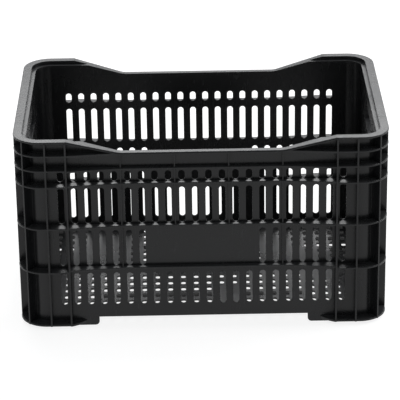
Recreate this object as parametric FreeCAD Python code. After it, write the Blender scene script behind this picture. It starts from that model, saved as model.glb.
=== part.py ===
"""Vented stacking harvest crate: one moulding, written as its named regions.

Frame: origin at the middle of the footprint on the plane that the feet stand on, X along the
length, Y along the width (negative Y is the front), Z up, millimetres.

"Inset" is the distance inwards from the outermost upright envelope of the crate. Regions that
repeat round the crate are drawn once in the +X +Y quadrant, or once on the +Y side or +X end,
and mirrored or turned into place.
"""
import FreeCAD, Part
import os
from itertools import product
from math import atan2, cos, hypot, radians, sin, tan

Vector = FreeCAD.Vector
UP = Vector(0, 0, 1)
ORIGIN = Vector(0, 0, 0)

# Overall size
LENGTH = 557.0
WIDTH = 360.0
HEIGHT = 307.0
CORNER_RADIUS = 42.0

# Wall, between these two insets all the way round
WALL_OUTER = 16.5
WALL_INNER = 19.0

# Rim: outer flange, riser and the ledge that the feet of the next crate stand on
RIM_THICKNESS = 3.0
RIM_TOP_WIDTH = 13.0
RISER_OUTER = 10.5
LEDGE_Z = 301.0
LEDGE_UNDERSIDE = 298.5

# Dip of the rim in each long side; its outer top edge is rounded for the hands
DIP_Z = 285.3
DIP_OUTER = 8.5
DIP_LOW_X = 121.5
DIP_BLEND_RADIUS = 45.0
BLEND_DEPTH = 0.8
DIP_ROUND = 2.2

# Horizontal flanges: thickness and heights of their top faces
FLANGE_THICKNESS = 3.0
FLANGE_OUTER = 0.2
EDGE_ROUND = 0.9
POST_FLANGE_TOPS = (DIP_Z, 261.7, 235.3, 167.8, 96.0, 8.6)
PANEL_FLANGE_TOPS = (260.8, 236.8, 168.2, 99.2)

# Upright ribs
RIB_THICKNESS = 2.6
RIB_OVERLAP = 0.5
POST_RIB_X = (200.3, 230.5)
POST_RIB_Y = (100.3, 130.5)
DIAGONAL_RIB_ANGLE = 48.0
PANEL_RIB_THICKNESS = 1.8
PANEL_RIB_OUTER = 10.0
PANEL_RIB_SHORT_X = 40.0
PANEL_RIB_LONG_X = 120.0
PANEL_RIB_SHORT_FLOORS = 3
PANEL_RIB_LONG_FLOORS = 4
PANEL_X = 199.0
PANEL_Y = 99.0

# Vent slots: pitch and width, then lower and upper end of each row, from the top row down
SLOT_PITCH = 20.0
SLOT_WIDTH = 9.4
SLOT_CORNER = 4.6
SLOT_ROWS = ((237.2, 253.1), (168.6, 226.6), (99.8, 157.4), (33.8, 87.4))
LABEL_ROW = 2
LABEL_HALF_WIDTH = 80.0
LONG_COLUMNS = 10
END_COLUMNS = 5
POST_SLOT_X = 210.0
POST_SLOT_Y = 110.0

# Hand-holds in the end walls
GRIP_HALF_WIDTH = 52.0
GRIP_BOTTOM = 243.0
GRIP_TOP = 276.0
GRIP_CORNER = 12.0
GRIP_LIP = 3.0
GRIP_LIP_OUTER = 8.5

# Base and feet
BASE_BOTTOM = 13.5
BASE_THICKNESS = 3.0
BASE_HOLE_X = 7.4
BASE_HOLE_Y = 13.5
BASE_HOLE_CORNER = 3.0
BASE_PITCH_Y = 22.0
BASE_HOLE_COLUMNS = 13
BASE_HOLE_ROWS = 7
BASE_RIB_BOTTOM = 7.5
BASE_RIB_X = (-160.0, -80.0, 0.0, 80.0, 160.0)
BASE_RIB_Y = (-88.0, 0.0, 88.0)
SIDE_RIB_X = (100.0, 240.0)
SIDE_RIB_Y = (22.0, 44.0, 66.0, 110.0, 132.0, 154.0)
FOOT_END_X = 158.5
FOOT_END_Y = 58.0
FOOT_CORNER = 6.0

# Plain plate in the floor, in the +X -Y quadrant: which columns and rows have no hole, how far
# it reaches past them and how high it stands
PLATE_COLUMNS = (1, 2)
PLATE_ROWS = (3, 4, 5)
PLATE_MARGIN = 9.5
PLATE_HEIGHT = 0.8

POST_BOTTOM = POST_FLANGE_TOPS[-1] - FLANGE_THICKNESS
TAIL_END_X = 177.0
TAIL_MID_X = 189.0
TAIL_MID_INSET = 5.5

HALF_L = LENGTH / 2
HALF_W = WIDTH / 2
CENTRE_X = HALF_L - CORNER_RADIUS
CENTRE_Y = HALF_W - CORNER_RADIUS

# How far cutting shapes reach past what they cut, and the tolerance for finding edges
CLEAR = 5.0
NEAR = 0.01


def line(*points):
    """Edges of an open polyline through the given points."""
    vectors = [Vector(*point) for point in points]
    return [Part.makeLine(a, b) for a, b in zip(vectors, vectors[1:])]


def prism(edges, direction, inner_wires=()):
    """Solid swept along a direction from the plane face that the edges close."""
    outer = Part.Wire(Part.__sortEdges__(list(edges)))
    face = Part.makeFace([outer] + list(inner_wires), "Part::FaceMakerBullseye")
    return face.extrude(direction)


def box(x0, x1, y0, y1, z0, z1):
    """Box between two corners."""
    return Part.makeBox(x1 - x0, y1 - y0, z1 - z0, Vector(x0, y0, z0))


def rounded_slot(half_a, low, high, corner, place):
    """Closed wire of a rounded rectangle; place maps its own (a, b) coordinates to space."""
    diagonal = corner * (1 - sin(radians(45)))
    a0, a1 = -half_a, half_a
    b0, b1 = low, high
    arcs = (
        ((a1 - corner, b0), (a1 - diagonal, b0 + diagonal), (a1, b0 + corner)),
        ((a1, b1 - corner), (a1 - diagonal, b1 - diagonal), (a1 - corner, b1)),
        ((a0 + corner, b1), (a0 + diagonal, b1 - diagonal), (a0, b1 - corner)),
        ((a0, b0 + corner), (a0 + diagonal, b0 + diagonal), (a0 + corner, b0)),
    )
    edges = []
    for index, arc in enumerate(arcs):
        edges.append(Part.Arc(*[place(*point) for point in arc]).toShape())
        following = arcs[(index + 1) % len(arcs)]
        edges.append(Part.makeLine(place(*arc[2]), place(*following[0])))
    return Part.Wire(edges)


def inset_of(point):
    """Inset of a point of the +X +Y quadrant."""
    if point.x > CENTRE_X and point.y > CENTRE_Y:
        return CORNER_RADIUS - hypot(point.x - CENTRE_X, point.y - CENTRE_Y)
    return min(HALF_L - point.x, HALF_W - point.y)


def round_level_edges(solid, is_outer, levels):
    """Round the level edges of a solid that lie on its outside at the given heights."""
    chosen = []
    for edge in solid.Edges:
        middle = edge.valueAt((edge.FirstParameter + edge.LastParameter) / 2)
        flat = abs(edge.Vertexes[0].Z - edge.Vertexes[-1].Z) < NEAR
        if flat and is_outer(middle) and min(abs(middle.z - level) for level in levels) < NEAR:
            chosen.append(edge)
    return solid.makeFillet(EDGE_ROUND, chosen)


def corner_band(outer, inner, z0, z1):
    """L-shaped band round the +X +Y corner between two insets."""
    diagonal = sin(radians(45))
    half_l_out, half_w_out = HALF_L - outer, HALF_W - outer
    half_l_in, half_w_in = HALF_L - inner, HALF_W - inner

    def arc(inset, half_l, half_w):
        reach = (CORNER_RADIUS - inset) * diagonal
        return Part.Arc(
            Vector(CENTRE_X, half_w, z0),
            Vector(CENTRE_X + reach, CENTRE_Y + reach, z0),
            Vector(half_l, CENTRE_Y, z0),
        ).toShape()

    edges = line((PANEL_X, half_w_out, z0), (CENTRE_X, half_w_out, z0))
    edges.append(arc(outer, half_l_out, half_w_out))
    edges += line(
        (half_l_out, CENTRE_Y, z0), (half_l_out, PANEL_Y, z0),
        (half_l_in, PANEL_Y, z0), (half_l_in, CENTRE_Y, z0),
    )
    edges.append(arc(inner, half_l_in, half_w_in))
    edges += line(
        (CENTRE_X, half_w_in, z0), (PANEL_X, half_w_in, z0), (PANEL_X, half_w_out, z0),
    )
    return prism(edges, UP * (z1 - z0))


def corner_flange(top):
    """Flange round the corner, with its two outer edges rounded."""
    bottom = top - FLANGE_THICKNESS
    band = corner_band(FLANGE_OUTER, WALL_OUTER, bottom, top)
    return round_level_edges(
        band, lambda p: abs(inset_of(p) - FLANGE_OUTER) < NEAR, (bottom, top))


def upright_rib(inset_to_box):
    """Rib from the lowest flange up to the rim, stepped back under the riser."""
    lower = inset_to_box(0.0, WALL_OUTER, POST_BOTTOM, LEDGE_UNDERSIDE)
    upper = inset_to_box(0.0, RISER_OUTER, LEDGE_UNDERSIDE, HEIGHT - RIM_THICKNESS)
    return lower.fuse(upper).removeSplitter()


def long_side_rib(x):
    """Corner post rib that stands out of the long side at x."""
    half = RIB_THICKNESS / 2
    return upright_rib(lambda outer, inner, z0, z1: box(
        x - half, x + half, HALF_W - inner, HALF_W - outer, z0, z1))


def end_rib(y):
    """Corner post rib that stands out of the end wall at y."""
    half = RIB_THICKNESS / 2
    return upright_rib(lambda outer, inner, z0, z1: box(
        HALF_L - inner, HALF_L - outer, y - half, y + half, z0, z1))


def diagonal_rib():
    """Rib that stands out of the rounded corner."""
    half = RIB_THICKNESS / 2

    def turned(outer, inner, z0, z1):
        radial = box(
            CORNER_RADIUS - inner - RIB_OVERLAP, CORNER_RADIUS - outer, -half, half, z0, z1)
        radial.rotate(ORIGIN, UP, DIAGONAL_RIB_ANGLE)
        radial.translate(Vector(CENTRE_X, CENTRE_Y, 0))
        return radial

    return upright_rib(turned)


def long_slot(x, low, high, y):
    """Vent slot wire in a plane facing Y."""
    return rounded_slot(SLOT_WIDTH / 2, low, high, SLOT_CORNER, lambda a, b: Vector(x + a, y, b))


def end_slot(y, low, high, x):
    """Vent slot wire in a plane facing X."""
    return rounded_slot(SLOT_WIDTH / 2, low, high, SLOT_CORNER, lambda a, b: Vector(x, y + a, b))


def corner_post():
    """Curved wall of a corner with its flanges, ribs and the vent slots in two bays."""
    wall = corner_band(WALL_OUTER, WALL_INNER, POST_BOTTOM, LEDGE_UNDERSIDE)
    cutters = []
    for low, high in SLOT_ROWS:
        long_wire = long_slot(POST_SLOT_X, low, high, HALF_W - WALL_INNER - CLEAR)
        cutters.append(Part.Face(long_wire).extrude(Vector(0, WALL_INNER, 0)))
        end_wire = end_slot(POST_SLOT_Y, low, high, HALF_L - WALL_INNER - CLEAR)
        cutters.append(Part.Face(end_wire).extrude(Vector(WALL_INNER, 0, 0)))
    wall = wall.cut(cutters)
    additions = [corner_flange(top) for top in POST_FLANGE_TOPS]
    additions += [long_side_rib(x) for x in POST_RIB_X]
    additions += [end_rib(y) for y in POST_RIB_Y]
    additions.append(diagonal_rib())
    return wall.fuse(additions)


def rim_corner():
    """Raised rim round a corner: flange, riser and stacking ledge."""
    flange = corner_band(0.0, RIM_TOP_WIDTH, HEIGHT - RIM_THICKNESS, HEIGHT)
    flange = round_level_edges(
        flange, lambda p: inset_of(p) < NEAR, (HEIGHT - RIM_THICKNESS, HEIGHT))
    riser = corner_band(RISER_OUTER, RIM_TOP_WIDTH, LEDGE_UNDERSIDE, HEIGHT - RIM_THICKNESS)
    ledge = corner_band(RISER_OUTER, WALL_INNER, LEDGE_UNDERSIDE, LEDGE_Z)
    return flange.fuse([riser, ledge]).removeSplitter()


def rim_end():
    """Straight raised rim over the +X end wall."""
    def across(outer, inner, z0, z1):
        return box(HALF_L - inner, HALF_L - outer, -PANEL_Y, PANEL_Y, z0, z1)

    flange = across(0.0, RIM_TOP_WIDTH, HEIGHT - RIM_THICKNESS, HEIGHT)
    flange = round_level_edges(
        flange, lambda p: HALF_L - p.x < NEAR, (HEIGHT - RIM_THICKNESS, HEIGHT))
    riser = across(RISER_OUTER, RIM_TOP_WIDTH, LEDGE_UNDERSIDE, HEIGHT - RIM_THICKNESS)
    ledge = across(RISER_OUTER, WALL_INNER, LEDGE_UNDERSIDE, LEDGE_Z)
    return flange.fuse([riser, ledge]).removeSplitter()


def dip_curve(drop, y):
    """Top line of a long side, high at both ends and low in the middle, lowered by drop."""
    high = HEIGHT - drop
    low = DIP_Z - drop
    slope = atan2(HEIGHT - DIP_Z, PANEL_X - DIP_LOW_X)
    tangent = DIP_BLEND_RADIUS * tan(slope / 2)
    half_chord = DIP_BLEND_RADIUS * sin(slope / 2)
    sag = DIP_BLEND_RADIUS * (1 - cos(slope / 2))
    right = [
        (0.0, low),
        (DIP_LOW_X - tangent, low),
        (DIP_LOW_X - tangent + half_chord, low + sag),
        (DIP_LOW_X + tangent * cos(slope), low + tangent * sin(slope)),
        (PANEL_X, high),
    ]
    edges = []
    for side in (-1, 1):
        p = [Vector(side * x, y, z) for x, z in right]
        edges.append(Part.makeLine(p[0], p[1]))
        edges.append(Part.Arc(p[1], p[2], p[3]).toShape())
        edges.append(Part.makeLine(p[3], p[4]))
    return edges, high


def under_curve(drop, floor_z, outer, inner):
    """Solid under the dipping top line and above floor_z, between two insets."""
    y = HALF_W - inner
    edges, high = dip_curve(drop, y)
    edges += line(
        (PANEL_X, y, high), (PANEL_X, y, floor_z), (-PANEL_X, y, floor_z), (-PANEL_X, y, high))
    return prism(edges, Vector(0, inner - outer, 0))


def tapered_plan(inner, z0, z1, outer=0.0):
    """Long-side band in plan: full depth at the posts, drawn in to the dip in the middle."""
    high_y = HALF_W - outer
    low_y = HALF_W - DIP_OUTER
    in_y = HALF_W - inner
    edges = line(
        (-PANEL_X, in_y, z0), (-PANEL_X, high_y, z0), (-DIP_LOW_X, low_y, z0),
        (DIP_LOW_X, low_y, z0), (PANEL_X, high_y, z0), (PANEL_X, in_y, z0), (-PANEL_X, in_y, z0),
    )
    return prism(edges, UP * (z1 - z0))


def rim_long():
    """Dipping rim of the +Y side, with the flange it comes down to and the wall between."""
    floor_z = DIP_Z - FLANGE_THICKNESS
    block = under_curve(0.0, floor_z, 0.0, WALL_INNER)
    block = block.common(tapered_plan(WALL_INNER, floor_z, HEIGHT))
    front_pocket = under_curve(RIM_THICKNESS, DIP_Z - RIM_THICKNESS, -CLEAR, RISER_OUTER)
    back_pocket = under_curve(RIM_THICKNESS, DIP_Z - RIM_THICKNESS, -CLEAR, WALL_OUTER)
    above_flange = box(-HALF_L, HALF_L, 0, WIDTH, DIP_Z, HEIGHT)
    below_ledge = box(-HALF_L, HALF_L, 0, WIDTH, DIP_Z, LEDGE_UNDERSIDE)
    ledge_gap = box(
        -HALF_L, HALF_L, HALF_W - WALL_INNER - CLEAR, HALF_W - RIM_TOP_WIDTH,
        LEDGE_Z, HEIGHT + CLEAR)
    pockets = [front_pocket.common(above_flange), back_pocket.common(below_ledge), ledge_gap]
    rim = block.cut(pockets).removeSplitter()
    return rim.makeFillet(DIP_ROUND, [edge for edge in rim.Edges if on_outer_top(edge)])


def on_outer_top(edge):
    """Whether an edge runs along the outer top line of the +Y rim."""
    middle = edge.valueAt((edge.FirstParameter + edge.LastParameter) / 2)
    along = abs(edge.Vertexes[0].X - edge.Vertexes[-1].X) > RIM_THICKNESS
    run = (abs(middle.x) - DIP_LOW_X) / (PANEL_X - DIP_LOW_X)
    outer_y = HALF_W - DIP_OUTER * min(1.0, 1.0 - run)
    top_z = DIP_Z + (HEIGHT - DIP_Z) * max(0.0, run)
    beside = abs(middle.y - outer_y) < BLEND_DEPTH
    level = abs(middle.z - top_z) < BLEND_DEPTH
    return along and beside and level


def wall_long():
    """Flat slotted wall of the +Y side between the corner posts."""
    y = HALF_W - WALL_INNER
    top = DIP_Z - FLANGE_THICKNESS
    wires = []
    for row, (low, high) in enumerate(SLOT_ROWS):
        for column in range(LONG_COLUMNS):
            x = SLOT_PITCH * (column + 0.5)
            if row == LABEL_ROW and x < LABEL_HALF_WIDTH:
                continue
            wires += [long_slot(side * x, low, high, y) for side in (-1, 1)]
    outline = line(
        (-PANEL_X, y, BASE_BOTTOM), (PANEL_X, y, BASE_BOTTOM), (PANEL_X, y, top),
        (-PANEL_X, y, top), (-PANEL_X, y, BASE_BOTTOM),
    )
    return prism(outline, Vector(0, WALL_INNER - WALL_OUTER, 0), wires)


def flanges_long():
    """Flanges and upright ribs on the outside of the +Y side, each its own bar."""
    bars = []
    for top in PANEL_FLANGE_TOPS:
        bottom = top - FLANGE_THICKNESS
        bar = tapered_plan(WALL_OUTER, bottom, top, FLANGE_OUTER)
        bars.append(round_level_edges(
            bar, lambda p: p.y > HALF_W - WALL_OUTER + CLEAR and abs(p.x) < PANEL_X - NEAR,
            (bottom, top)))
    tops = (DIP_Z,) + PANEL_FLANGE_TOPS
    half = PANEL_RIB_THICKNESS / 2
    ribs = (
        (PANEL_RIB_SHORT_X, PANEL_RIB_SHORT_FLOORS), (PANEL_RIB_LONG_X, PANEL_RIB_LONG_FLOORS))
    for x, floors in ribs:
        for upper, lower in zip(tops[:floors], tops[1:floors + 1]):
            for side in (-1, 1):
                bars.append(box(
                    side * x - half, side * x + half, HALF_W - WALL_OUTER,
                    HALF_W - PANEL_RIB_OUTER, lower, upper - FLANGE_THICKNESS))
    return Part.makeCompound(bars)


def wall_end():
    """Flat slotted wall of the +X end below the hand-hold."""
    x = HALF_L - WALL_INNER
    top = PANEL_FLANGE_TOPS[1]
    wires = []
    for low, high in SLOT_ROWS[1:]:
        for column in range(END_COLUMNS):
            y = SLOT_PITCH * (column + 0.5)
            wires += [end_slot(side * y, low, high, x) for side in (-1, 1)]
    outline = line(
        (x, -PANEL_Y, BASE_BOTTOM), (x, PANEL_Y, BASE_BOTTOM), (x, PANEL_Y, top),
        (x, -PANEL_Y, top), (x, -PANEL_Y, BASE_BOTTOM),
    )
    return prism(outline, Vector(WALL_INNER - WALL_OUTER, 0, 0), wires)


def hand_hold():
    """Top of the +X end wall: hand opening, the lip round it and the short vent slots."""
    x = HALF_L - WALL_INNER
    bottom = PANEL_FLANGE_TOPS[1]

    def opening(grow, at_x):
        return rounded_slot(
            GRIP_HALF_WIDTH + grow, GRIP_BOTTOM - grow, GRIP_TOP + grow, GRIP_CORNER + grow,
            lambda a, b: Vector(at_x, a, b))

    wires = [opening(0.0, x)]
    low, high = SLOT_ROWS[0]
    for y in (SLOT_PITCH * 3.5, SLOT_PITCH * 4.5):
        wires += [end_slot(side * y, low, high, x) for side in (-1, 1)]
    outline = line(
        (x, -PANEL_Y, bottom), (x, PANEL_Y, bottom), (x, PANEL_Y, LEDGE_UNDERSIDE),
        (x, -PANEL_Y, LEDGE_UNDERSIDE), (x, -PANEL_Y, bottom),
    )
    plate = prism(outline, Vector(WALL_INNER - WALL_OUTER, 0, 0), wires)
    lip = prism(
        opening(GRIP_LIP, x).Edges, Vector(WALL_INNER - GRIP_LIP_OUTER, 0, 0), [opening(0.0, x)])
    return plate.fuse(lip).removeSplitter()


def flanges_end():
    """Flanges on the outside of the +X end, each its own bar."""
    outer_x = HALF_L - DIP_OUTER
    inner_x = HALF_L - WALL_OUTER
    lip_edge = GRIP_HALF_WIDTH + GRIP_LIP

    def bar(y0, y1, top):
        bottom = top - FLANGE_THICKNESS
        solid = box(inner_x, outer_x, y0, y1, bottom, top)
        return round_level_edges(
            solid, lambda p: outer_x - p.x < NEAR and y0 < p.y < y1, (bottom, top))

    bars = [bar(-PANEL_Y, PANEL_Y, top) for top in (DIP_Z,) + PANEL_FLANGE_TOPS[1:]]
    bars += [bar(-PANEL_Y, -lip_edge, PANEL_FLANGE_TOPS[0])]
    bars += [bar(lip_edge, PANEL_Y, PANEL_FLANGE_TOPS[0])]
    return Part.makeCompound(bars)


def foot():
    """Wall carried down to the ground round a corner, with the tail of the lowest flange."""
    corner = corner_band(WALL_OUTER, WALL_INNER, 0.0, POST_BOTTOM)
    y = HALF_W - WALL_INNER
    x = HALF_L - WALL_INNER
    wall = WALL_INNER - WALL_OUTER
    long_run = box(FOOT_END_X, PANEL_X, y, y + wall, 0.0, BASE_BOTTOM)
    end_run = box(x, x + wall, FOOT_END_Y, PANEL_Y, 0.0, BASE_BOTTOM)
    long_run = round_toe(long_run, lambda v: abs(v.x - FOOT_END_X) < NEAR)
    end_run = round_toe(end_run, lambda v: abs(v.y - FOOT_END_Y) < NEAR)
    tail_edges = line(
        (PANEL_X, HALF_W - FLANGE_OUTER, POST_BOTTOM), (PANEL_X, y + wall, POST_BOTTOM),
        (TAIL_END_X, y + wall, POST_BOTTOM),
    )
    tail_edges.append(Part.Arc(
        Vector(TAIL_END_X, y + wall, POST_BOTTOM),
        Vector(TAIL_MID_X, HALF_W - TAIL_MID_INSET, POST_BOTTOM),
        Vector(PANEL_X, HALF_W - FLANGE_OUTER, POST_BOTTOM),
    ).toShape())
    tail = prism(tail_edges, UP * FLANGE_THICKNESS)
    return corner.fuse([long_run, end_run, tail]).removeSplitter()


def round_toe(run, at_end):
    """Round the lower free corner of a foot's straight run."""
    chosen = [
        edge for edge in run.Edges
        if all(at_end(vertex.Point) and vertex.Z < NEAR for vertex in edge.Vertexes)
    ]
    return run.makeFillet(FOOT_CORNER, chosen)


def has_hole(column, row, side_x, side_y):
    """Whether the floor is open at this place of one quadrant's hole pattern."""
    at_corner = column == BASE_HOLE_COLUMNS - 1 and row == BASE_HOLE_ROWS - 1
    on_plate = side_x > 0 and side_y < 0 and column in PLATE_COLUMNS and row in PLATE_ROWS
    return not at_corner and not on_plate


def base_panel():
    """Perforated floor inside the walls, with one plain plate."""
    half_l = HALF_L - WALL_INNER
    half_w = HALF_W - WALL_INNER
    corner = CORNER_RADIUS - WALL_INNER
    z = BASE_BOTTOM
    outline = rounded_slot(half_l, -half_w, half_w, corner, lambda a, b: Vector(a, b, z))
    wires = []
    for side_x, side_y, column, row in product(
            (-1, 1), (-1, 1), range(BASE_HOLE_COLUMNS), range(BASE_HOLE_ROWS)):
        if not has_hole(column, row, side_x, side_y):
            continue
        x = side_x * SLOT_PITCH * (column + 0.5)
        y = side_y * BASE_PITCH_Y * (row + 0.5)
        wires.append(rounded_slot(
            BASE_HOLE_X / 2, y - BASE_HOLE_Y / 2, y + BASE_HOLE_Y / 2, BASE_HOLE_CORNER,
            lambda a, b, x=x: Vector(x + a, b, z)))
    panel = prism(outline.Edges, UP * BASE_THICKNESS, wires)
    top = BASE_BOTTOM + BASE_THICKNESS
    plate = box(
        SLOT_PITCH * (PLATE_COLUMNS[0] + 0.5) - PLATE_MARGIN,
        SLOT_PITCH * (PLATE_COLUMNS[-1] + 0.5) + PLATE_MARGIN,
        -BASE_PITCH_Y * (PLATE_ROWS[-1] + 0.5) - PLATE_MARGIN,
        -BASE_PITCH_Y * (PLATE_ROWS[0] + 0.5) + PLATE_MARGIN,
        top, top + PLATE_HEIGHT)
    return panel.fuse(plate)


def base_ribs():
    """Straight stiffening ribs under the floor: full ones along X, short ones between them."""
    half = RIB_THICKNESS / 2
    end_x = BASE_RIB_X[-1] + half
    ribs = [box(-end_x, end_x, y - half, y + half, BASE_RIB_BOTTOM, BASE_BOTTOM) for y in BASE_RIB_Y]
    for x in BASE_RIB_X:
        for y0, y1 in zip(BASE_RIB_Y, BASE_RIB_Y[1:]):
            ribs.append(box(x - half, x + half, y0 + half, y1 - half, BASE_RIB_BOTTOM, BASE_BOTTOM))
    inner_x, outer_x = SIDE_RIB_X
    for y in SIDE_RIB_Y:
        for x0, x1 in stretches(inner_x, outer_x, y):
            for left in (x0, -x1):
                ribs.append(box(
                    left, left + x1 - x0, y - half, y + half, BASE_RIB_BOTTOM, BASE_BOTTOM))
    return Part.makeCompound(ribs)


def stretches(inner_x, outer_x, y):
    """Ends of a side rib at y, parted where a rib across the floor is in its way."""
    half = RIB_THICKNESS / 2
    crossing = BASE_RIB_X[-1]
    if y > BASE_RIB_Y[-1]:
        return [(inner_x, outer_x)]
    return [(inner_x, crossing - half), (crossing + half, outer_x)]


def mirrored(shape, in_x, in_y):
    """Copy of a shape mirrored across X = 0, across Y = 0, or both."""
    copy = shape.copy()
    if in_x and in_y:
        copy.rotate(ORIGIN, UP, 180)
        return copy
    if in_x:
        return copy.mirror(ORIGIN, Vector(1, 0, 0))
    if in_y:
        return copy.mirror(ORIGIN, Vector(0, 1, 0))
    return copy


def build():
    """All nodes of the crate by name."""
    nodes = {"base_panel": base_panel(), "base_ribs": base_ribs()}
    quadrant = {"corner_post": corner_post(), "rim_corner": rim_corner(), "foot": foot()}
    for name, shape in quadrant.items():
        for depth, in_y in (("rear", False), ("front", True)):
            for side, in_x in (("right", False), ("left", True)):
                nodes[f"{name}_{depth}_{side}"] = mirrored(shape, in_x, in_y)
    for name, shape in (("rim", rim_long()), ("wall", wall_long()), ("flanges", flanges_long())):
        nodes[f"{name}_rear"] = shape
        nodes[f"{name}_front"] = mirrored(shape, False, True)
    ends = (
        ("rim", rim_end()), ("wall", wall_end()), ("hand_hold", hand_hold()),
        ("flanges", flanges_end()),
    )
    for name, shape in ends:
        nodes[f"{name}_right"] = shape
        nodes[f"{name}_left"] = mirrored(shape, True, False)
    return nodes


os.makedirs("parts", exist_ok=True)
for node, shape in build().items():
    shape.exportStep(f"parts/{node}.step")
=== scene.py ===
"""Looks for a vented stacking crate: one glossy black moulding on a white table.

Lengths are in metres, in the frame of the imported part: X along the crate, negative Y is its
front, Z up.
"""
import math

import bpy
from mathutils import Matrix, Vector


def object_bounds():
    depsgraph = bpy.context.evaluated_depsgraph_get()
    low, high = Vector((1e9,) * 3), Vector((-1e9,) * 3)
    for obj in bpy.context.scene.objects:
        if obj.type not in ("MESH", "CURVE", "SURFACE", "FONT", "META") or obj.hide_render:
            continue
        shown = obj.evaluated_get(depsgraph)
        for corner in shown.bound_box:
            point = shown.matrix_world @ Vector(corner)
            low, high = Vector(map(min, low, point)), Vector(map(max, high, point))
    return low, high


# Camera: where it looks from, measured round the crate's own axes
CAMERA_DISTANCE = 3.508
CAMERA_ELEVATION = math.radians(23.71)
CAMERA_AZIMUTH = math.radians(-0.40)
CAMERA_ROLL = math.radians(-0.84)
CAMERA_TARGET = Vector((-0.0019, 0.0, 0.1325))
CAMERA_LENS_MM = 201.4
CAMERA_SENSOR_MM = 36.0
CAMERA_CLIP_END = 100.0

# White table top
FLOOR_HALF = 12.0
FLOOR_ALBEDO = 0.25
FLOOR_ROUGHNESS = 0.9
FLOOR_GLOW = 0.86

# Studio: even surroundings and three soft panels
CONTRAST_GAMMA = 0.87
WORLD_STRENGTH = 0.46
WORLD_TINT = (0.95, 0.975, 1.0, 1.0)
PANELS = {
    "back_panel": {
        "size": (3.0, 1.6), "place": (0.0, 2.6, 2.1), "aim": (0.0, 0.0, 0.2), "watts": 53.0},
    "high_panel": {
        "size": (2.6, 1.2), "place": (0.0, 1.3, 2.9), "aim": (0.0, 0.0, 0.2), "watts": 22.0},
    "side_panel": {
        "size": (1.2, 1.6), "place": (2.3, 0.3, 1.8), "aim": (0.0, 0.0, 0.15), "watts": 34.0},
}

# Colours of the plastic, and how far wear and scratches cover it
MELT_DARK = (0.0078, 0.0082, 0.0090, 1.0)
MELT_LIGHT = (0.0118, 0.0123, 0.0132, 1.0)
DUST_COLOUR = (0.060, 0.061, 0.063, 1.0)
WEAR_COLOUR = (0.060, 0.061, 0.063, 1.0)
WEAR_COVER = 0.55
SCRATCH_COLOUR = (0.045, 0.046, 0.048, 1.0)
SCRATCH_COVER = 0.35

# Gloss of the plastic: its specular levels, its roughness from clear to hazy, and what marks add
PLASTIC_IOR = 1.49
WALL_GLOSS = 0.45
FLOOR_PANEL_GLOSS = 0.85
ROUGHNESS_RANGE = (0.20, 0.30)
WEAR_ROUGHNESS = 0.14
SCRATCH_ROUGHNESS = 0.16
DUST_ROUGHNESS = 0.06

# Relief of the skin, with grain and scratches as shares of it
RELIEF_DEPTH = 0.00012
RELIEF_STRENGTH = 0.35
GRAIN_SHARE = 0.25
SCRATCH_SHARE = 0.5
EDGE_RADIUS = 0.0007
EDGE_SAMPLES = 6

# Noises in the plastic
PATCHES = {"scale": 22.0, "detail": 4.0, "roughness": 0.6}
FLOW = {"scale": 2.5, "detail": 5.0, "roughness": 0.55}
FLOW_STRETCH = (6.0, 6.0, 2.0)
HAZE = {"scale": 9.0, "detail": 6.0, "roughness": 0.62}
GRAIN = {"scale": 1500.0, "detail": 2.0, "roughness": 0.6}
SKIN = {"scale": 260.0, "detail": 3.0, "roughness": 0.55}

# Webs of scratches: each has its angle in radians, its scale and the scale of its gate
SCRATCH_WEBS = ((0.35, 55.0, 43.75), (-0.8, 70.0, 47.5), (1.3, 48.0, 42.0))
SCRATCH_STRETCH = (1.0, 1.0, 0.06)
GATE = {"detail": 2.0, "roughness": 0.5}

# Ranges over which a measured value becomes a share from 0 to 1
TURN_TO_EDGE = (0.995, 0.85)
PATCH_TO_WEAR = (0.45, 0.70)
DISTANCE_TO_HAIR = (0.020, 0.004)
NOISE_TO_GATE = (0.56, 0.68)
UPWARD_TO_DUST = (0.6, 0.95)

# Haze runs over this range, and leaves these shares of the dust at its two ends
HAZE_RANGE = (0.25, 0.75)
DUST_IN_HAZE = (0.3, 1.0)


class Graph:
    """Short calls for building one material's node tree."""

    def __init__(self, name):
        self.material = bpy.data.materials.new(name)
        self.material.use_nodes = True
        self.tree = self.material.node_tree
        self.shader = self.tree.nodes["Principled BSDF"]

    def node(self, kind, inputs=(), **settings):
        """A new node with its settings, input values and links."""
        made = self.tree.nodes.new(kind)
        for key, value in settings.items():
            setattr(made, key, value)
        for key, value in dict(inputs).items():
            self.feed(made.inputs[key], value)
        return made

    def feed(self, socket, value):
        """Link an output to a socket, or set the socket's own value."""
        if isinstance(value, bpy.types.NodeSocket):
            self.tree.links.new(value, socket)
        else:
            socket.default_value = value

    def math(self, operation, first, second):
        """Output of a Math node."""
        return self.node("ShaderNodeMath", {0: first, 1: second}, operation=operation).outputs[0]

    def ramp(self, value, low, high, to_low=0.0, to_high=1.0):
        """Value carried smoothly from one range to another."""
        inputs = {
            "Value": value, "From Min": low, "From Max": high, "To Min": to_low, "To Max": to_high,
        }
        made = self.node("ShaderNodeMapRange", inputs, interpolation_type="SMOOTHSTEP")
        return made.outputs["Result"]

    def noise(self, vector, scale, detail, roughness):
        """Output of a Noise Texture."""
        inputs = {"Vector": vector, "Scale": scale, "Detail": detail, "Roughness": roughness}
        return self.node("ShaderNodeTexNoise", inputs).outputs["Fac"]

    def stretched(self, vector, scale, rotation=(0.0, 0.0, 0.0)):
        """Coordinates scaled apart along the three axes."""
        made = self.node(
            "ShaderNodeMapping", {"Vector": vector, "Scale": scale, "Rotation": rotation})
        return made.outputs["Vector"]

    def blend(self, factor, first, second):
        """Mix of two colours."""
        made = self.node(
            "ShaderNodeMix", {"Factor": factor, "A": first, "B": second}, data_type="RGBA")
        return made.outputs["Result"]


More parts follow.
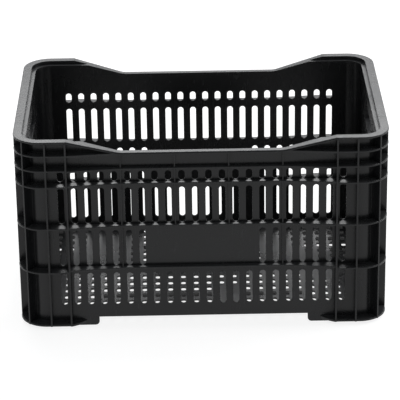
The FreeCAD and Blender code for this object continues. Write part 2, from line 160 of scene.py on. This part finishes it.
def edge_wear(graph, place, normal, rounded):
    """Wear in patches along the edges, which are where the rounded normal turns from the real one."""
    turn = graph.node("ShaderNodeVectorMath", {0: rounded, 1: normal}, operation="DOT_PRODUCT")
    edge = graph.ramp(turn.outputs["Value"], *TURN_TO_EDGE)
    patches = graph.ramp(graph.noise(place, **PATCHES), *PATCH_TO_WEAR)
    return graph.math("MULTIPLY", edge, patches)


def hairline_scratches(graph, place):
    """Webs of long thin cells whose borders are the scratches, each web gated to a few places."""
    scratches = 0.0
    for angle, scale, gate_scale in SCRATCH_WEBS:
        along = graph.stretched(place, SCRATCH_STRETCH, (angle, angle, 0.0))
        web = graph.node(
            "ShaderNodeTexVoronoi", {"Vector": along, "Scale": scale}, feature="DISTANCE_TO_EDGE")
        hair = graph.ramp(web.outputs["Distance"], *DISTANCE_TO_HAIR)
        gate = graph.ramp(graph.noise(place, gate_scale, **GATE), *NOISE_TO_GATE)
        scratches = graph.math("MAXIMUM", scratches, graph.math("MULTIPLY", hair, gate))
    return scratches


def settled_dust(graph, normal, haze):
    """Dust on what faces up, thicker where the haze is."""
    up = graph.node("ShaderNodeSeparateXYZ", {"Vector": normal}).outputs["Z"]
    spread = graph.ramp(haze, *HAZE_RANGE, *DUST_IN_HAZE)
    return graph.math("MULTIPLY", graph.ramp(up, *UPWARD_TO_DUST), spread)


def crate_plastic(name, gloss):
    """Glossy black polypropylene with a fine moulded skin, scuffed edges and hairline scratches."""
    graph = Graph(name)
    place = graph.node("ShaderNodeTexCoord").outputs["Object"]
    normal = graph.node("ShaderNodeNewGeometry").outputs["Normal"]
    bevel = graph.node("ShaderNodeBevel", {"Radius": EDGE_RADIUS}, samples=EDGE_SAMPLES)
    rounded = bevel.outputs["Normal"]

    # Melt flow and handling leave slow changes in tone and in gloss
    flow = graph.noise(graph.stretched(place, FLOW_STRETCH), **FLOW)
    haze = graph.noise(place, **HAZE)
    worn = edge_wear(graph, place, normal, rounded)
    scratch = hairline_scratches(graph, place)
    dust = settled_dust(graph, normal, haze)

    colour = graph.blend(flow, MELT_DARK, MELT_LIGHT)
    colour = graph.blend(dust, colour, DUST_COLOUR)
    colour = graph.blend(graph.math("MULTIPLY", worn, WEAR_COVER), colour, WEAR_COLOUR)
    colour = graph.blend(graph.math("MULTIPLY", scratch, SCRATCH_COVER), colour, SCRATCH_COLOUR)
    graph.feed(graph.shader.inputs["Base Color"], colour)

    rough = graph.ramp(haze, *HAZE_RANGE, *ROUGHNESS_RANGE)
    marks = ((worn, WEAR_ROUGHNESS), (scratch, SCRATCH_ROUGHNESS), (dust, DUST_ROUGHNESS))
    for mark, added in marks:
        rough = graph.math("ADD", rough, graph.math("MULTIPLY", mark, added))
    graph.feed(graph.shader.inputs["Roughness"], rough)

    grain = graph.math("MULTIPLY", graph.noise(place, **GRAIN), GRAIN_SHARE)
    relief = graph.math("ADD", grain, graph.noise(place, **SKIN))
    relief = graph.math("SUBTRACT", relief, graph.math("MULTIPLY", scratch, SCRATCH_SHARE))
    bump = graph.node("ShaderNodeBump", {
        "Strength": RELIEF_STRENGTH, "Distance": RELIEF_DEPTH, "Height": relief, "Normal": rounded})
    graph.feed(graph.shader.inputs["Normal"], bump.outputs["Normal"])
    graph.shader.inputs["IOR"].default_value = PLASTIC_IOR
    graph.shader.inputs["Specular IOR Level"].default_value = gloss
    return graph.material


def table_white():
    """Matt white that glows evenly."""
    graph = Graph("table_white")
    graph.shader.inputs["Base Color"].default_value = (FLOOR_ALBEDO,) * 3 + (1.0,)
    graph.shader.inputs["Roughness"].default_value = FLOOR_ROUGHNESS
    graph.shader.inputs["Specular IOR Level"].default_value = 0.0
    graph.shader.inputs["Emission Color"].default_value = (1.0, 1.0, 1.0, 1.0)
    graph.shader.inputs["Emission Strength"].default_value = FLOOR_GLOW
    return graph.material


def dress_frame(frame):
    """Give every CAD node the plastic, in a glossier form on the crate's floor."""
    plastic = crate_plastic("crate_plastic", WALL_GLOSS)
    polished = crate_plastic("crate_floor_plastic", FLOOR_PANEL_GLOSS)
    for name, node in frame["nodes"].items():
        node.data.materials.clear()
        node.data.materials.append(polished if name == "base_panel" else plastic)


def make_floor(level):
    """Wide plane that the crate stands on."""
    mesh = bpy.data.meshes.new("table_top")
    corners = [(x * FLOOR_HALF, y * FLOOR_HALF, level) for x, y in ((-1, -1), (1, -1), (1, 1), (-1, 1))]
    mesh.from_pydata(corners, [], [(0, 1, 2, 3)])
    floor = bpy.data.objects.new("table_top", mesh)
    floor.data.materials.append(table_white())
    bpy.context.scene.collection.objects.link(floor)


def looking(place, aim):
    """Rotation of a light at place that faces aim."""
    return (Vector(aim) - Vector(place)).to_track_quat("-Z", "Y").to_euler()


def make_panel(name, size, place, aim, watts):
    """Soft rectangular light."""
    light = bpy.data.lights.new(name, "AREA")
    light.shape = "RECTANGLE"
    light.size, light.size_y = size
    light.energy = watts
    holder = bpy.data.objects.new(name, light)
    holder.location = place
    holder.rotation_euler = looking(place, aim)
    bpy.context.scene.collection.objects.link(holder)


def make_world():
    """Even surroundings, close to white."""
    world = bpy.data.worlds.new("studio")
    world.use_nodes = True
    background = world.node_tree.nodes["Background"]
    background.inputs["Color"].default_value = WORLD_TINT
    background.inputs["Strength"].default_value = WORLD_STRENGTH
    bpy.context.scene.world = world


def make_camera():
    """Long lens, raised in front of the crate and turned slightly about its own axis."""
    back = Vector((
        math.sin(CAMERA_AZIMUTH) * math.cos(CAMERA_ELEVATION),
        -math.cos(CAMERA_AZIMUTH) * math.cos(CAMERA_ELEVATION),
        math.sin(CAMERA_ELEVATION),
    ))
    right = Vector((0.0, 0.0, 1.0)).cross(back).normalized()
    up = back.cross(right)
    turned_right = right * math.cos(CAMERA_ROLL) + up * math.sin(CAMERA_ROLL)
    turned_up = up * math.cos(CAMERA_ROLL) - right * math.sin(CAMERA_ROLL)
    axes = Matrix((turned_right, turned_up, back)).transposed().to_4x4()
    lens = bpy.data.cameras.new("camera")
    lens.lens = CAMERA_LENS_MM
    lens.sensor_width = CAMERA_SENSOR_MM
    lens.clip_end = CAMERA_CLIP_END
    camera = bpy.data.objects.new("camera", lens)
    camera.matrix_world = Matrix.Translation(CAMERA_TARGET + back * CAMERA_DISTANCE) @ axes
    bpy.context.scene.collection.objects.link(camera)
    bpy.context.scene.camera = camera


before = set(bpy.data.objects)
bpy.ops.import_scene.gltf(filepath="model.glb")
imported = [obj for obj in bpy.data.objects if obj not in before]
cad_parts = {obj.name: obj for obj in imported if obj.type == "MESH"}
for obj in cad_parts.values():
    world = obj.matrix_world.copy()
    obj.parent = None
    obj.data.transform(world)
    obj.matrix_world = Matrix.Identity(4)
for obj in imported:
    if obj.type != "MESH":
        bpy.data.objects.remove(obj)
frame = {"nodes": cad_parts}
cad_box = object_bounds()
bpy.context.scene.view_settings.view_transform = "Standard"
bpy.context.scene.view_settings.gamma = CONTRAST_GAMMA
make_camera()
dress_frame(frame)
make_floor(cad_box[0][2])
make_world()
for panel_name, panel in PANELS.items():
    make_panel(panel_name, **panel)
